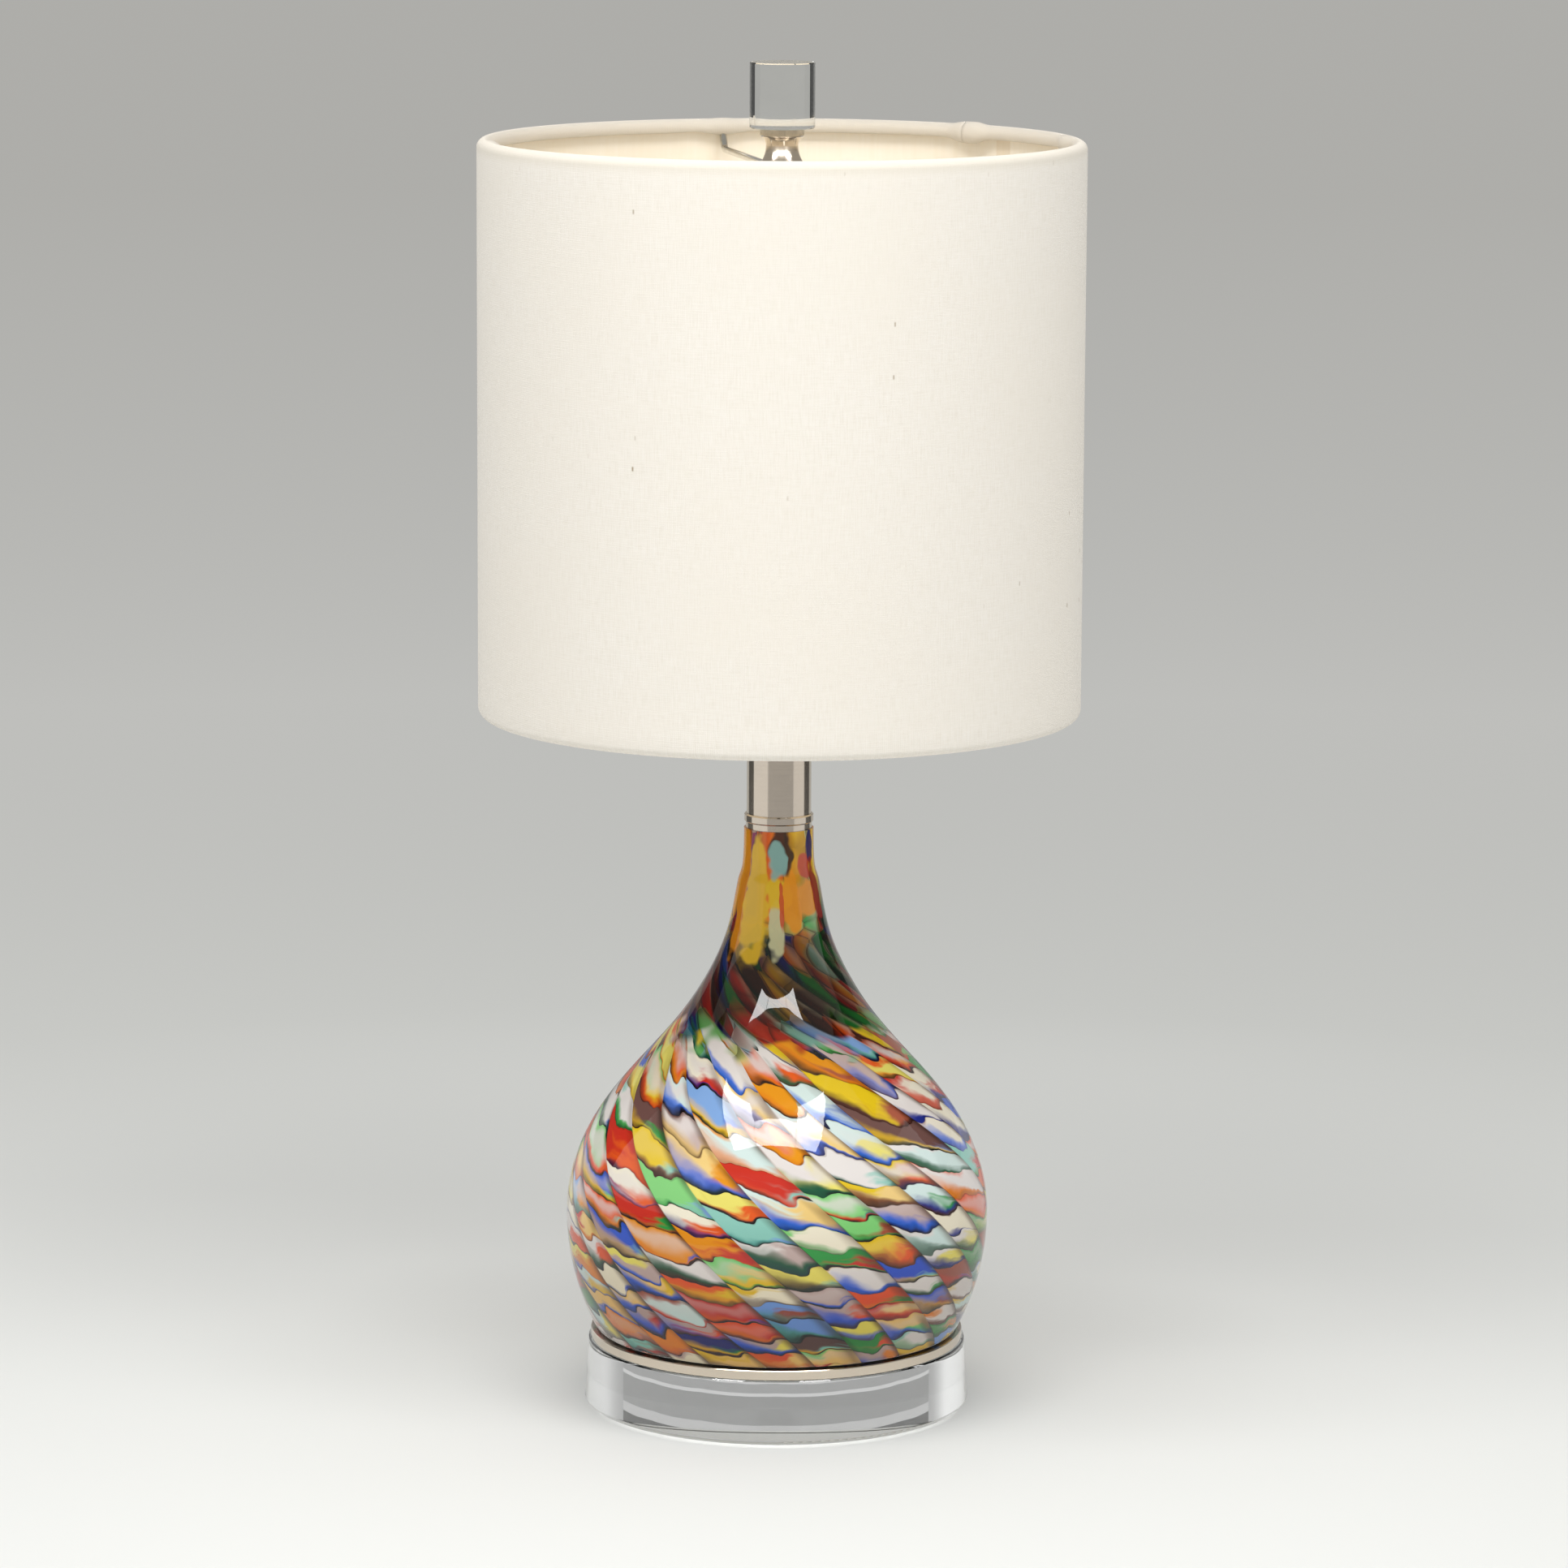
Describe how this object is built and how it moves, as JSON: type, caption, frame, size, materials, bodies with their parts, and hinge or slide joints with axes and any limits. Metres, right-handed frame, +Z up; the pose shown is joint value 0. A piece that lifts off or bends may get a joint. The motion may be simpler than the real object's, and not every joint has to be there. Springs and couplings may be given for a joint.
{
  "type": "accent lamp",
  "caption": "Table accent lamp: swirled blown-glass teardrop body on a clear disc base, metal neck, harp, fabric drum shade and clear cylinder finial.",
  "frame": {"origin": "centre of the footprint, on the table under the feet", "axes": "+Z up along the lamp's axis, -Y towards the front, +X to the right seen from the front"},
  "size_m": [0.2358, 0.2358, 0.5306],
  "materials": {
    "clear_rubber": "clear soft bumper",
    "clear_acrylic": "polished, water clear",
    "satin_nickel": "satin brushed",
    "polished_nickel": "polished",
    "plated_steel": "bright zinc or nickel plate",
    "art_glass": "glossy, opaque swirled colours under clear casing",
    "black_rubber": "matt",
    "clear_plastic": "translucent",
    "brass": "bright",
    "fibre": "grey-brown fibre sleeve",
    "moulded_black": "moulded",
    "bulb_white": "soft white coating inside",
    "bulb_metal": "bright",
    "liner": "smooth satin sheet",
    "linen": "plain weave with slubs"
  },
  "bodies": {
    "root": {"bumper_feet": "clear_rubber", "acrylic_base": "clear_acrylic", "seat_plate": "satin_nickel", "pipe_locknut": "plated_steel", "seat_gasket": "black_rubber", "glass_body": "art_glass", "cord_bushing": "clear_plastic", "glass_grommet": "black_rubber", "lamp_pipe": "plated_steel", "neck_cap": "satin_nickel", "check_ring": "satin_nickel", "neck_tube": "satin_nickel", "tube_cap": "satin_nickel", "harp_saddle": "plated_steel", "saddle_nut": "plated_steel", "harp_wire": "satin_nickel", "harp_top_plate": "satin_nickel", "harp_stud": "plated_steel", "holder_cap": "satin_nickel", "holder_set_screw": "plated_steel", "pipe_end_bushing": "moulded_black", "holder_shell": "satin_nickel", "shell_insulator": "fibre", "holder_core": "moulded_black", "screw_shell": "brass", "centre_contact": "brass", "terminal_screws": "brass"},
    "shade": {"spider_hub": "plated_steel", "spider_arms": "plated_steel", "shade_top_ring": "plated_steel", "shade_bottom_ring": "plated_steel", "shade_liner": "liner", "shade_cover": "linen", "top_rim_roll": "linen", "bottom_rim_roll": "linen"},
    "finial": {"finial_base": "satin_nickel", "finial_collar": "polished_nickel", "finial_cylinder": "clear_acrylic"},
    "bulb": {"bulb_glass": "bulb_white", "bulb_cap": "bulb_metal", "bulb_insulator": "moulded_black", "bulb_contact": "bulb_metal"},
    "switch": {"switch_rotor": "moulded_black", "switch_shaft": "brass", "switch_knob": "moulded_black"},
    "ferrule_left": {"harp_ferrule_left": "satin_nickel"},
    "ferrule_right": {"harp_ferrule_right": "satin_nickel"}
  },
  "joints": [
    {"name": "shade_turn", "type": "hinge", "parent": "root", "child": "shade", "pos_m": [0, 0, 0.4878], "axis": [0, 0, 1], "continuous": true},
    {"name": "finial_turn", "type": "hinge", "parent": "root", "child": "finial", "pos_m": [0, 0, 0.4904], "axis": [0, 0, 1], "continuous": true},
    {"name": "bulb_turn", "type": "hinge", "parent": "root", "child": "bulb", "pos_m": [0, 0, 0.3234], "axis": [0, 0, 1], "continuous": true},
    {"name": "switch_turn", "type": "hinge", "parent": "root", "child": "switch", "pos_m": [0, -0.0175, 0.3123], "axis": [0, -1, 0], "continuous": true},
    {"name": "ferrule_left_slide", "type": "slide", "parent": "root", "child": "ferrule_left", "axis": [0, 0, 1], "range_m": [0, 0.012]},
    {"name": "ferrule_right_slide", "type": "slide", "parent": "root", "child": "ferrule_right", "axis": [0, 0, 1], "range_m": [0, 0.012]}
  ]
}
